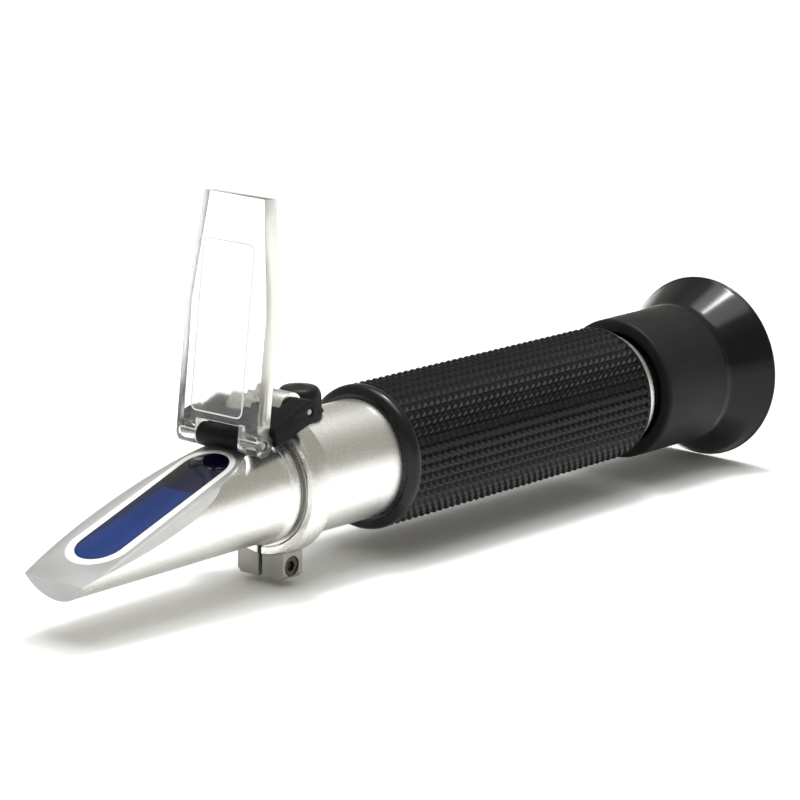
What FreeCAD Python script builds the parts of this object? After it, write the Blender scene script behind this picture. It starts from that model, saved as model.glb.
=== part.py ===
import FreeCAD, Part
import math
import os
import Sketcher

# Hand-held refractometer: a prism nose, a tube with a rubber grip, a focusing eyepiece, and a clear
# daylight plate on a swinging arm. Millimetres, +Z up, +X from the prism towards the eyepiece.
# The origin is under the middle of the instrument. Every size below is measured in the tube frame,
# whose X starts at the grip's front face and whose Z starts on the tube's axis.

SIZES = [
    # where the tube frame stands in the part's own frame
    ("grip_front", -15.4),
    ("axis_height", 20.0),
    # tube
    ("tube_front", -29.6),
    ("tube_rear", 82.4),
    ("tube_outer", 12.19),
    ("tube_collar", 12.8),
    ("tube_collar_front", 79.2),
    ("tube_bore", 10.7),
    ("tube_chamfer", 0.4),
    ("groove_rear", -28.75),
    ("groove_round", 11.3),
    # prism housing
    ("nose_tip", -85.25),
    ("nose_root", -31.4),
    ("nose_tip_round", 9.13),
    ("nose_tip_drop", -2.8),
    ("nose_root_round", 10.9),
    ("nose_root_drop", -0.2),
    ("window_edge_drop", -7.8),
    ("window_slope", 19.45),
    ("under_x", -81.15),
    ("under_z", -25.0),
    ("ahead_x", -90.25),
    ("cut_reach", 60.0),
    ("flange_outer", 11.75),
    ("flange_chamfer", 0.45),
    ("spigot_outer", 10.65),
    ("spigot_rear", -23.0),
    ("ring_groove_front", -27.2),
    ("ring_groove_rear", -25.4),
    ("ring_groove_floor", 9.3),
    ("light_bore", 6.0),
    ("light_bore_drop", -1.5),
    ("light_bore_front", -49.0),
    # prism and its seal, along the sloping window face
    ("window_first", 13.3),
    ("window_last", 42.8),
    ("window_round", 5.17),
    ("prism_depth", 8.0),
    ("prism_toe_depth", 3.6),
    ("prism_floor", 10.0),
    ("prism_heel", 30.0),
    ("prism_gap", 0.1),
    ("seal_round", 7.0),
    ("seal_depth", 0.8),
    ("seal_proud", 0.1),
    ("oring_centre", 10.0),
    ("oring_round", 0.65),
    # clamp ring on the tube
    ("ring_front", -28.8),
    ("ring_rear", -23.7),
    ("ring_outer", 14.5),
    ("ring_bore", 12.22),
    ("ring_edge", 0.6),
    ("lug_front", -28.5),
    ("lug_rear", -22.9),
    ("lug_half", 6.04),
    ("lug_bottom", -18.65),
    ("lug_corner", 0.9),
    ("lug_root", -11.0),
    ("lug_slit_half", 0.5),
    ("lug_screw_x", -25.9),
    ("lug_screw_z", -16.05),
    ("screw_shank", 1.25),
    ("screw_head", 2.0),
    ("screw_head_depth", 1.5),
    ("screw_socket", 1.1),
    ("hub_half", 6.3),
    ("hub_round", 3.1),
    ("hub_root", 12.0),
    ("screw_end", 4.0),
    # swinging arm
    ("pin_x", -26.8),
    ("pin_z", 16.0),
    ("pin_round", 0.75),
    ("pin_half", 11.15),
    ("pin_play", 0.06),
    ("ear_round", 2.3),
    ("ear_inner", 6.8),
    ("arm_half", 11.3),
    ("arm_notch_front", -31.2),
    ("arm_top_x", -37.0),
    ("arm_top_z", 14.4),
    ("arm_low_x", -36.4),
    ("arm_low_z", 10.75),
    ("knuckle_width_half", 5.3),
    ("knuckle_round", 2.4),
    # daylight plate, in its own frame on the hinge axis
    ("plate_hinge_x", -39.0),
    ("plate_hinge_z", 11.3),
    ("plate_lean", 6.2),
    ("plate_front", -2.35),
    ("plate_thick", 3.55),
    ("plate_height", 47.2),
    ("plate_break", 25.4),
    ("plate_half", 10.5),
    ("plate_top_half", 7.9),
    ("plate_notch_half", 5.6),
    ("plate_notch_height", 3.1),
    ("plate_barrel", 2.35),
    ("plate_pin", 0.8),
    ("plate_pin_half", 10.3),
    # objective cell and calibration screw
    ("cal_x", -17.4),
    ("cell_half", 5.4),
    ("cell_outer", 9.85),
    ("cell_bore", 8.05),
    ("cell_lip", 1.0),
    ("cell_lip_bore", 7.0),
    ("lens_round", 8.0),
    ("crown_thick", 3.6),
    ("crown_ball", 22.0),
    ("flint_ball", 40.0),
    ("lens_flat", 0.4),
    ("flint_thick", 3.4),
    ("cell_ring_length", 2.0),
    ("boss_round", 4.55),
    ("boss_top", 12.65),
    ("boss_bottom", 11.0),
    ("boss_collar", 3.35),
    ("boss_collar_top", 15.3),
    ("boss_well", 2.75),
    ("boss_spigot", 2.6),
    ("cal_shank", 1.45),
    ("cal_shank_play", 0.08),
    ("cal_tip", 8.5),
    ("cal_head", 2.4),
    ("cal_head_low", 14.1),
    ("cal_head_top", 15.2),
    ("cal_slot_half", 0.3),
    ("cal_slot_depth", 0.6),
    ("cap_round", 4.4),
    ("cap_skirt", 4.85),
    ("cap_low", 12.75),
    ("cap_shoulder", 16.9),
    ("cap_top", 18.3),
    ("cap_bore", 3.4),
    ("cap_ceiling", 16.2),
    # grip
    ("grip_rear", 79.1),
    ("grip_bore", 12.22),
    ("grip_front_round", 14.9),
    ("grip_rear_round", 14.4),
    ("grip_lip", 3.0),
    ("grip_nose_round", 12.9),
    # optics inside the tube
    ("insert_outer", 10.65),
    ("baffle_front", 20.0),
    ("baffle_length", 3.0),
    ("baffle_hole", 6.0),
    ("holder_front", 55.0),
    ("holder_length", 6.0),
    ("holder_lip", 1.5),
    ("holder_bore", 8.6),
    ("holder_lip_bore", 7.6),
    ("reticle_round", 8.55),
    ("reticle_thick", 1.2),
    ("holder_ring_length", 1.6),
    # eyepiece
    ("sleeve_front", 72.0),
    ("sleeve_rear", 92.0),
    ("sleeve_bore", 9.35),
    ("barrel_front", 66.0),
    ("barrel_rear", 104.0),
    ("barrel_outer", 9.3),
    ("barrel_bore", 8.05),
    ("barrel_lip", 1.5),
    ("barrel_lip_bore", 7.0),
    ("barrel_flange_front", 100.0),
    ("barrel_flange", 12.5),
    ("key_x", 76.0),
    ("key_round", 0.9),
    ("key_slot_half", 1.0),
    ("key_slot_run", 3.0),
    ("field_lens_front", 67.6),
    ("field_lens_thick", 3.6),
    ("eyepiece_ball", 24.0),
    ("eye_rear_ball", 20.0),
    ("eye_lens_front", 96.0),
    ("eye_lens_thick", 4.6),
    ("eye_ring_length", 2.0),
    ("eye_ring_bore", 6.8),
    ("focus_front", 84.7),
    ("focus_rear", 105.0),
    ("focus_front_round", 15.2),
    ("focus_rear_round", 15.2),
    ("focus_bore", 12.55),
    ("focus_back_wall", 104.3),
    ("focus_back_bore", 9.6),
    ("focus_spigot_rear", 109.0),
    ("focus_spigot", 13.6),
    ("focus_lip", 0.5),
    ("trap_front", 98.0),
    ("trap_length", 1.7),
    ("trap_bore", 9.6),
    ("cup_rear", 116.8),
    ("cup_round", 20.0),
    ("cup_flare", 106.6),
    ("cup_rim", 1.1),
    ("cup_inner", 17.8),
]

doc = FreeCAD.newDocument("Refractometer")
sheet = doc.addObject("Spreadsheet::Sheet", "Sizes")
for row, (alias, number) in enumerate(SIZES, start=1):
    sheet.set("A%d" % row, alias)
    sheet.set("B%d" % row, str(number))
    sheet.setAlias("B%d" % row, alias)
doc.recompute()

nodes = []


def terms(text):
    """Split a sum such as "-lug_half + lug_corner" into signs and words."""
    found = []
    sign = 1
    for word in text.replace("-", " - ").replace("+", " + ").split():
        if word in "+-":
            sign = -1 if word == "-" else 1
        else:
            found.append((sign, word))
            sign = 1
    return found


def is_number(word):
    return word.replace(".", "", 1).isdigit()


def amount(text):
    """Value of a sum of cells and numbers."""
    return sum(sign * (float(word) if is_number(word) else sheet.get(word)) for sign, word in terms(text))


def cells(text):
    """The same sum, as an expression on the spreadsheet."""
    pieces = ["0"]
    for sign, word in terms(text):
        pieces.append("-" if sign < 0 else "+")
        pieces.append(word if is_number(word) else "Sizes." + word)
    return " ".join(pieces)


def bind(thing, **properties):
    """Bind properties to the sheet: Base_x stands for Placement.Base.x."""
    for name, text in properties.items():
        thing.setExpression(name.replace("Base_", ".Placement.Base."), cells(text))


def place(thing, x="", y="", z="", turn=None):
    """Put a thing at a point of the tube frame."""
    if turn:
        thing.Placement.Rotation = turn
    bind(
        thing,
        Base_x="grip_front" + (" + " + x if x else ""),
        Base_z="axis_height" + (" + " + z if z else ""),
    )
    if y:
        bind(thing, Base_y=y)
    return thing


def new_body(label, **where):
    body = doc.addObject("PartDesign::Body", label)
    body.Label = label
    place(body, **where)
    return body


def new_sketch(body, role, name, x="", z="", turn=None):
    """Sketch on one of the body's own origin planes, moved off it where asked."""
    sketch = body.newObject("Sketcher::SketchObject", name)
    plane = [feature for feature in body.Origin.OriginFeatures if feature.Role == role][0]
    sketch.AttachmentSupport = [(plane, "")]
    sketch.MapMode = "FlatFace"
    if turn:
        sketch.AttachmentOffset = FreeCAD.Placement(FreeCAD.Vector(), turn)
    if x:
        sketch.setExpression(".AttachmentOffset.Base.x", cells(x))
    if z:
        sketch.setExpression(".AttachmentOffset.Base.z", cells(z))
    return sketch


def fix_point(sketch, curve, end, point):
    for kind, text in zip(("DistanceX", "DistanceY"), point):
        index = sketch.addConstraint(Sketcher.Constraint(kind, -1, 1, curve, end, amount(text)))
        sketch.setExpression("Constraints[%d]" % index, cells(text))


def outline(sketch, corners):
    """Closed outline of straight lines through corners, each corner a pair of sums."""
    points = [FreeCAD.Vector(amount(across), amount(up), 0) for across, up in corners]
    first = sketch.GeometryCount
    for start, end in zip(points, points[1:] + points[:1]):
        sketch.addGeometry(Part.LineSegment(start, end), False)
    for number, corner in enumerate(corners):
        before = first + (number - 1) % len(corners)
        sketch.addConstraint(Sketcher.Constraint("Coincident", before, 2, first + number, 1))
        fix_point(sketch, first + number, 1, corner)


def disc(sketch, centre, radius):
    middle = FreeCAD.Vector(amount(centre[0]), amount(centre[1]), 0)
    curve = sketch.addGeometry(Part.Circle(middle, FreeCAD.Vector(0, 0, 1), amount(radius)), False)
    index = sketch.addConstraint(Sketcher.Constraint("Radius", curve, amount(radius)))
    sketch.setExpression("Constraints[%d]" % index, cells(radius))
    fix_point(sketch, curve, 3, centre)


def stadium(sketch, first, last, radius):
    """Slot outline along the sketch's X axis, centred on it, with round ends."""
    left, right, size = amount(first), amount(last), amount(radius)
    up = FreeCAD.Vector(0, 0, 1)
    left_end = Part.Circle(FreeCAD.Vector(left, 0, 0), up, size)
    right_end = Part.Circle(FreeCAD.Vector(right, 0, 0), up, size)
    low = [FreeCAD.Vector(left, -size, 0), FreeCAD.Vector(right, -size, 0)]
    high = [FreeCAD.Vector(right, size, 0), FreeCAD.Vector(left, size, 0)]
    start = sketch.GeometryCount
    sketch.addGeometry(Part.ArcOfCircle(left_end, math.pi / 2, 3 * math.pi / 2), False)
    sketch.addGeometry(Part.LineSegment(*low), False)
    sketch.addGeometry(Part.ArcOfCircle(right_end, -math.pi / 2, math.pi / 2), False)
    sketch.addGeometry(Part.LineSegment(*high), False)
    for number in range(4):
        following = start + (number + 1) % 4
        sketch.addConstraint(Sketcher.Constraint("Tangent", start + number, 2, following, 1))
    for arc, spot in ((start, first), (start + 2, last)):
        index = sketch.addConstraint(Sketcher.Constraint("DistanceX", -1, 1, arc, 3, amount(spot)))
        sketch.setExpression("Constraints[%d]" % index, cells(spot))
        sketch.addConstraint(Sketcher.Constraint("PointOnObject", arc, 3, -1))
    index = sketch.addConstraint(Sketcher.Constraint("Radius", start, size))
    sketch.setExpression("Constraints[%d]" % index, cells(radius))


def revolve(body, name, corners):
    """Turn an outline of (along, radius) corners about the body's X axis."""
    sketch = new_sketch(body, "XY_Plane", name + "_outline")
    outline(sketch, corners)
    feature = body.newObject("PartDesign::Revolution", name)
    feature.Profile = sketch
    feature.ReferenceAxis = (sketch, ["H_Axis"])
    feature.Angle = 360


def extrude(body, name, sketch, length, cut=False, reversed_way=False, midplane=False):
    feature = body.newObject("PartDesign::Pocket" if cut else "PartDesign::Pad", name)
    feature.Profile = sketch
    feature.Length = amount(length)
    bind(feature, Length=length)
    feature.Reversed = reversed_way
    feature.Midplane = midplane


def turned(label, corners, **where):
    """A sub-part turned on the lathe."""
    body = new_body(label, **where)
    revolve(body, label + "_turning", corners)
    nodes.append(body)
    return body


def ring(label, front, length, bore, outer, **where):
    rear = front + " + " + length
    return turned(label, [(front, bore), (front, outer), (rear, outer), (rear, bore)], **where)


# ---------------------------------------------------------------- tube and nose

def make_tube():
    body = turned("main_tube", [
        ("tube_front", "tube_bore"),
        ("tube_front", "groove_round"),
        ("groove_rear", "groove_round"),
        ("groove_rear", "tube_outer"),
        ("tube_collar_front", "tube_outer"),
        ("tube_collar_front", "tube_collar"),
        ("tube_rear - tube_chamfer", "tube_collar"),
        ("tube_rear", "tube_collar - tube_chamfer"),
        ("tube_rear", "tube_bore"),
    ])
    sketch = new_sketch(body, "XY_Plane", "boss_hole_outline")
    disc(sketch, ("cal_x", "0"), "boss_spigot")
    extrude(body, "boss_hole", sketch, "tube_outer + 1", cut=True, reversed_way=True)
    key_hole(body, "tube_key_hole", "key_round + 0.02")


def key_hole(body, name, radius):
    sketch = new_sketch(body, "XY_Plane", name + "_outline")
    disc(sketch, ("key_x", "0"), radius)
    extrude(body, name, sketch, "tube_outer + 1", cut=True)


def window_turn():
    return FreeCAD.Rotation(FreeCAD.Vector(0, 1, 0), -sheet.get("window_slope"))


def window_block(label, grow, as_node=False):
    """Prism-shaped block under the window face; grow widens it to make its seat."""
    body = new_body(label, x="nose_tip", z="window_edge_drop", turn=window_turn())
    face = new_sketch(body, "XY_Plane", label + "_face")
    stadium(face, "window_first", "window_last", "window_round + " + grow)
    extrude(body, label + "_block", face, "prism_depth + " + grow, reversed_way=True)
    side = new_sketch(body, "XZ_Plane", label + "_toe_side")
    outline(side, [
        ("0", "-prism_toe_depth - " + grow),
        ("prism_heel", "-prism_depth - " + grow),
        ("prism_heel", "-prism_floor"),
        ("0", "-prism_floor"),
    ])
    extrude(body, label + "_toe", side, "cut_reach", cut=True, midplane=True)
    if as_node:
        nodes.append(body)
    return body


def make_seal():
    body = new_body("prism_seal", x="nose_tip", z="window_edge_drop", turn=window_turn())
    sketch = new_sketch(body, "XY_Plane", "seal_outline", z="-seal_depth")
    stadium(sketch, "window_first", "window_last", "seal_round")
    stadium(sketch, "window_first", "window_last", "window_round + prism_gap")
    extrude(body, "seal_bead", sketch, "seal_depth + seal_proud")
    nodes.append(body)


def make_housing(seat):
    body = new_body("housing_blank")
    length = amount("nose_root - nose_tip")
    droop = math.degrees(math.atan2(amount("nose_root_drop - nose_tip_drop"), length))
    tilt = FreeCAD.Rotation(FreeCAD.Vector(0, 1, 0), -droop)
    side = new_sketch(body, "XY_Plane", "nose_side", x="nose_tip", z="nose_tip_drop", turn=tilt)
    outline(side, [
        ("-1", "0"),
        ("-1", "nose_tip_round"),
        ("nose_root - nose_tip + 1", "nose_root_round"),
        ("nose_root - nose_tip + 1", "0"),
    ])
    nose = body.newObject("PartDesign::Revolution", "nose")
    nose.Profile = side
    nose.ReferenceAxis = (side, ["H_Axis"])
    nose.Angle = 360
    revolve(body, "flange_and_spigot", [
        ("nose_root", "0"),
        ("nose_root", "flange_outer - flange_chamfer"),
        ("nose_root + flange_chamfer", "flange_outer"),
        ("tube_front", "flange_outer"),
        ("tube_front", "spigot_outer"),
        ("ring_groove_front", "spigot_outer"),
        ("ring_groove_front", "ring_groove_floor"),
        ("ring_groove_rear", "ring_groove_floor"),
        ("ring_groove_rear", "spigot_outer"),
        ("spigot_rear", "spigot_outer"),
        ("spigot_rear", "0"),
    ])
    rise = math.tan(math.radians(sheet.get("window_slope"))) * sheet.get("cut_reach")
    face = new_sketch(body, "XZ_Plane", "window_face_side")
    outline(face, [
        ("nose_tip", "window_edge_drop"),
        ("nose_tip + cut_reach", "window_edge_drop + %.4f" % rise),
        ("nose_tip + cut_reach", "cut_reach"),
        ("ahead_x", "cut_reach"),
        ("ahead_x", "under_z"),
        ("under_x", "under_z"),
    ])
    extrude(body, "window_face", face, "cut_reach", cut=True, midplane=True)
    seat_place = {"x": "nose_tip", "z": "window_edge_drop", "turn": window_turn()}
    slope = new_sketch(body, "XY_Plane", "seal_seat_outline", **seat_place)
    stadium(slope, "window_first", "window_last", "seal_round + 0.05")
    extrude(body, "seal_seat", slope, "seal_depth", cut=True)
    path = new_sketch(body, "YZ_Plane", "light_path_outline", z="spigot_rear")
    disc(path, ("0", "light_bore_drop"), "light_bore")
    extrude(body, "light_path", path, "spigot_rear - light_bore_front", cut=True)
    housing = doc.addObject("Part::Cut", "prism_housing")
    housing.Label = "prism_housing"
    housing.Base = body
    housing.Tool = seat
    nodes.append(housing)


def make_nose():
    seat = window_block("prism_seat", "prism_gap")
    make_housing(seat)
    window_block("prism", "0", as_node=True)
    make_seal()
    oring = doc.addObject("Part::Torus", "housing_o_ring")
    oring.Label = "housing_o_ring"
    place(oring, x="ring_groove_front + 0.9", turn=FreeCAD.Rotation(FreeCAD.Vector(0, 1, 0), 90))
    bind(oring, Radius1="oring_centre", Radius2="oring_round")
    nodes.append(oring)


# ---------------------------------------------------------------- clamp ring and its hardware

def make_clamp_ring():
    body = turned("clamp_ring", [
        ("ring_front", "ring_bore + 0.3"),
        ("ring_front", "ring_outer - ring_edge"),
        ("ring_front + ring_edge", "ring_outer"),
        ("ring_rear", "ring_outer"),
        ("ring_rear", "ring_bore"),
        ("ring_front + 0.5", "ring_bore"),
    ])
    lug = new_sketch(body, "YZ_Plane", "lug_outline", z="lug_front")
    outline(lug, [
        ("-lug_half", "lug_root"),
        ("-lug_half", "lug_bottom + lug_corner"),
        ("-lug_half + lug_corner", "lug_bottom"),
        ("lug_half - lug_corner", "lug_bottom"),
        ("lug_half", "lug_bottom + lug_corner"),
        ("lug_half", "lug_root"),
    ])
    extrude(body, "lug", lug, "lug_rear - lug_front")
    barrel = new_sketch(body, "XZ_Plane", "hub_outline")
    disc(barrel, ("pin_x", "pin_z"), "hub_round")
    extrude(body, "hub", barrel, "hub_half + hub_half", midplane=True)
    neck = new_sketch(body, "XZ_Plane", "hub_neck_outline")
    outline(neck, [
        ("ring_front + 0.6", "hub_root"),
        ("ring_rear", "hub_root"),
        ("pin_x + hub_round", "pin_z"),
        ("pin_x - hub_round + 0.4", "pin_z - 1.2"),
    ])
    extrude(body, "hub_neck", neck, "hub_half + hub_half", midplane=True)
    hole = new_sketch(body, "YZ_Plane", "tube_seat_outline", z="nose_tip")
    disc(hole, ("0", "0"), "ring_bore")
    extrude(body, "tube_seat", hole, "-nose_tip", cut=True, reversed_way=True)
    eye = new_sketch(body, "XZ_Plane", "pin_hole_outline")
    disc(eye, ("pin_x", "pin_z"), "pin_round + 0.02")
    extrude(body, "pin_hole", eye, "cut_reach", cut=True, midplane=True)
    slit = new_sketch(body, "YZ_Plane", "slit_outline", z="nose_tip")
    outline(slit, [
        ("-lug_slit_half", "under_z"),
        ("lug_slit_half", "under_z"),
        ("lug_slit_half", "lug_root"),
        ("-lug_slit_half", "lug_root"),
    ])
    extrude(body, "slit", slit, "-nose_tip", cut=True, reversed_way=True)
    bolt = new_sketch(body, "XZ_Plane", "screw_hole_outline")
    disc(bolt, ("lug_screw_x", "lug_screw_z"), "screw_shank + 0.03")
    extrude(body, "screw_hole", bolt, "screw_end + screw_end + 1", cut=True, midplane=True)
    head = new_sketch(body, "XZ_Plane", "counterbore_outline", z="lug_half")
    disc(head, ("lug_screw_x", "lug_screw_z"), "screw_head + 0.1")
    extrude(body, "counterbore", head, "screw_head_depth + 0.3", cut=True)


def make_clamp_screw():
    across = FreeCAD.Rotation(FreeCAD.Vector(0, 0, 1), 90)
    body = turned("clamp_screw", [
        ("0", "0"),
        ("0", "screw_head"),
        ("screw_head_depth", "screw_head"),
        ("screw_head_depth", "screw_shank"),
        ("lug_half + screw_end", "screw_shank"),
        ("lug_half + screw_end", "0"),
    ], x="lug_screw_x", y="-lug_half + 0.3", z="lug_screw_z", turn=across)
    socket = new_sketch(body, "YZ_Plane", "socket_outline")
    hexagon(socket, sheet.get("screw_socket"))
    extrude(body, "socket", socket, "screw_head_depth - 0.5", cut=True, reversed_way=True)


def hexagon(sketch, size):
    points = []
    for step in range(6):
        angle = step * math.pi / 3
        points.append(FreeCAD.Vector(math.cos(angle) * size, math.sin(angle) * size, 0))
    for start, end in zip(points, points[1:] + points[:1]):
        sketch.addGeometry(Part.LineSegment(start, end), False)
    for number in range(6):
        sketch.addConstraint(Sketcher.Constraint("Coincident", (number - 1) % 6, 2, number, 1))


def make_pin(label, length_half, radius, x, z):
    across = FreeCAD.Rotation(FreeCAD.Vector(0, 0, 1), 90)
    turned(label, [
        ("-" + length_half, "0"),
        ("-" + length_half, radius + " - 0.2"),
        ("-" + length_half + " + 0.2", radius),
        (length_half + " - 0.2", radius),
        (length_half, radius + " - 0.2"),
        (length_half, "0"),
    ], x=x, z=z, turn=across)


# ---------------------------------------------------------------- arm and daylight plate

def arm_outline(sketch):
    """Side of the arm: a tapering bar whose rear end is rounded about the pin."""
    pin = FreeCAD.Vector(amount("pin_x"), amount("pin_z"), 0)
    top = FreeCAD.Vector(amount("arm_top_x"), amount("arm_top_z"), 0)
    low = FreeCAD.Vector(amount("arm_low_x"), amount("arm_low_z"), 0)
    ear = sheet.get("ear_round")
    above = math.atan2(pin.y + ear - top.y, pin.x - top.x) + math.pi / 2
    below = math.atan2(pin.y - ear - low.y, pin.x - low.x) - math.pi / 2
    ends = [pin + FreeCAD.Vector(math.cos(angle), math.sin(angle), 0) * ear for angle in (above, below)]
    sketch.addGeometry(Part.LineSegment(low, top), False)
    sketch.addGeometry(Part.LineSegment(top, ends[0]), False)
    circle = Part.Circle(pin, FreeCAD.Vector(0, 0, 1), ear)
    sketch.addGeometry(Part.ArcOfCircle(circle, below, above), False)
    sketch.addGeometry(Part.LineSegment(ends[1], low), False)
    sketch.addConstraint(Sketcher.Constraint("Coincident", 0, 2, 1, 1))
    sketch.addConstraint(Sketcher.Constraint("Coincident", 3, 2, 0, 1))
    sketch.addConstraint(Sketcher.Constraint("Tangent", 1, 2, 2, 2))
    sketch.addConstraint(Sketcher.Constraint("Tangent", 2, 1, 3, 1))
    fix_point(sketch, 0, 1, ("arm_low_x", "arm_low_z"))
    fix_point(sketch, 0, 2, ("arm_top_x", "arm_top_z"))
    fix_point(sketch, 2, 3, ("pin_x", "pin_z"))
    index = sketch.addConstraint(Sketcher.Constraint("Radius", 2, ear))
    sketch.setExpression("Constraints[%d]" % index, cells("ear_round"))


def make_arm():
    body = new_body("hinge_arm")
    side = new_sketch(body, "XZ_Plane", "arm_side")
    arm_outline(side)
    extrude(body, "arm_web", side, "arm_half + arm_half", midplane=True)
    gap = new_sketch(body, "XY_Plane", "ear_gap_outline")
    outline(gap, [
        ("arm_notch_front", "-ear_inner"),
        ("pin_x + 10", "-ear_inner"),
        ("pin_x + 10", "ear_inner"),
        ("arm_notch_front", "ear_inner"),
    ])
    extrude(body, "ear_gap", gap, "cut_reach", cut=True, midplane=True)
    relief = new_sketch(body, "XZ_Plane", "barrel_relief_outline")
    disc(relief, ("plate_hinge_x", "plate_hinge_z"), "plate_barrel + 0.3")
    extrude(body, "barrel_relief", relief, "arm_half + arm_half + 1", cut=True, midplane=True)
    barrel = new_sketch(body, "XZ_Plane", "arm_knuckle_outline")
    disc(barrel, ("plate_hinge_x", "plate_hinge_z"), "knuckle_round")
    extrude(body, "arm_knuckle", barrel, "knuckle_width_half + knuckle_width_half", midplane=True)
    neck = new_sketch(body, "XZ_Plane", "arm_knuckle_neck_outline")
    outline(neck, [
        ("plate_hinge_x", "plate_hinge_z + 1.9"),
        ("arm_top_x + 0.3", "arm_top_z - 0.6"),
        ("arm_low_x + 1.5", "arm_low_z + 0.6"),
        ("plate_hinge_x", "plate_hinge_z - 1.9"),
    ])
    extrude(body, "arm_knuckle_neck", neck, "knuckle_width_half + knuckle_width_half", midplane=True)
    eye = new_sketch(body, "XZ_Plane", "arm_pin_hole_outline")
    disc(eye, ("pin_x", "pin_z"), "pin_round + pin_play")
    disc(eye, ("plate_hinge_x", "plate_hinge_z"), "plate_pin + 0.02")
    extrude(body, "arm_pin_holes", eye, "cut_reach", cut=True, midplane=True)
    nodes.append(body)


def make_plate():
    lean = FreeCAD.Rotation(FreeCAD.Vector(0, 1, 0), sheet.get("plate_lean"))
    body = new_body("daylight_plate", x="plate_hinge_x", z="plate_hinge_z", turn=lean)
    face = new_sketch(body, "YZ_Plane", "plate_outline", z="plate_front")
    outline(face, [
        ("-plate_half", "0"),
        ("-plate_half", "plate_break"),
        ("-plate_top_half", "plate_height"),
        ("plate_top_half", "plate_height"),
        ("plate_half", "plate_break"),
        ("plate_half", "0"),
        ("plate_notch_half", "0"),
        ("plate_notch_half", "plate_notch_height"),
        ("-plate_notch_half", "plate_notch_height"),
        ("-plate_notch_half", "0"),
    ])
    extrude(body, "plate_sheet", face, "plate_thick")
    for name, start in (("left", "-plate_half"), ("right", "plate_notch_half")):
        barrel = new_sketch(body, "XZ_Plane", name + "_barrel_outline", z=start)
        disc(barrel, ("0", "0"), "plate_barrel")
        extrude(body, name + "_barrel", barrel, "plate_half - plate_notch_half")
    eye = new_sketch(body, "XZ_Plane", "plate_pin_hole_outline")
    disc(eye, ("0", "0"), "plate_pin + pin_play")
    extrude(body, "plate_pin_hole", eye, "cut_reach", cut=True, midplane=True)
    nodes.append(body)


# ---------------------------------------------------------------- lenses

def hollow_depth(ball, radius):
    """How deep a ball reaches into a lens, leaving a flat rim."""
    return ball - math.sqrt(ball ** 2 - (amount(radius) - sheet.get("lens_flat")) ** 2)


def turned_lens(label, front, thick, radius, front_ball, rear_ball, hollow_front=False):
    """Glass disc with spherical faces; a hollow front follows the lens before it."""
    rim = doc.addObject("Part::Cylinder", label + "_rim")
    place(rim, x=front, turn=FreeCAD.Rotation(FreeCAD.Vector(0, 1, 0), 90))
    bind(rim, Radius=radius, Height=thick)
    rear = doc.addObject("Part::Sphere", label + "_rear_ball")
    rear.Radius = rear_ball
    place(rear, x="%s + %s - %.3f" % (front, thick, rear_ball))
    first = doc.addObject("Part::Sphere", label + "_front_ball")
    first.Radius = front_ball
    if hollow_front:
        place(first, x="%s + %.4f - %.3f" % (front, hollow_depth(front_ball, radius), front_ball))
        blank = doc.addObject("Part::Cut", label + "_blank")
        blank.Base = rim
        blank.Tool = first
        lens = doc.addObject("Part::Common", label)
        lens.Base = blank
        lens.Tool = rear
    else:
        place(first, x="%s + %.3f" % (front, front_ball))
        lens = doc.addObject("Part::MultiCommon", label)
        lens.Shapes = [rim, first, rear]
    lens.Label = label
    nodes.append(lens)


# ---------------------------------------------------------------- objective and its calibration screw

UPRIGHT = FreeCAD.Rotation(FreeCAD.Vector(0, 1, 0), -90)


def make_objective():
    front = "cal_x - cell_half"
    rear = "cal_x + cell_half"
    body = turned("objective_cell", [
        (front, "cell_lip_bore"),
        (front, "cell_outer"),
        (rear, "cell_outer"),
        (rear, "cell_bore"),
        (front + " + cell_lip", "cell_bore"),
        (front + " + cell_lip", "cell_lip_bore"),
    ])
    sketch = new_sketch(body, "XY_Plane", "cell_hole_outline")
    disc(sketch, ("cal_x", "0"), "cal_shank + cal_shank_play")
    extrude(body, "cell_hole", sketch, "cell_outer + 1", cut=True, reversed_way=True)
    ball = sheet.get("crown_ball")
    crown_front = front + " + cell_lip"
    flint_front = crown_front + " + crown_thick + 0.02 - %.4f" % hollow_depth(ball, "lens_round")
    rear_ball = sheet.get("flint_ball")
    flint_rear = flint_front + " + flint_thick"
    turned_lens("objective_crown_lens", crown_front, "crown_thick", "lens_round", ball, ball)
    turned_lens(
        "objective_flint_lens", flint_front, "flint_thick", "lens_round", ball, rear_ball, hollow_front=True
    )
    ring("objective_retaining_ring", flint_rear, "cell_ring_length", "cell_lip_bore", "lens_round")


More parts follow.
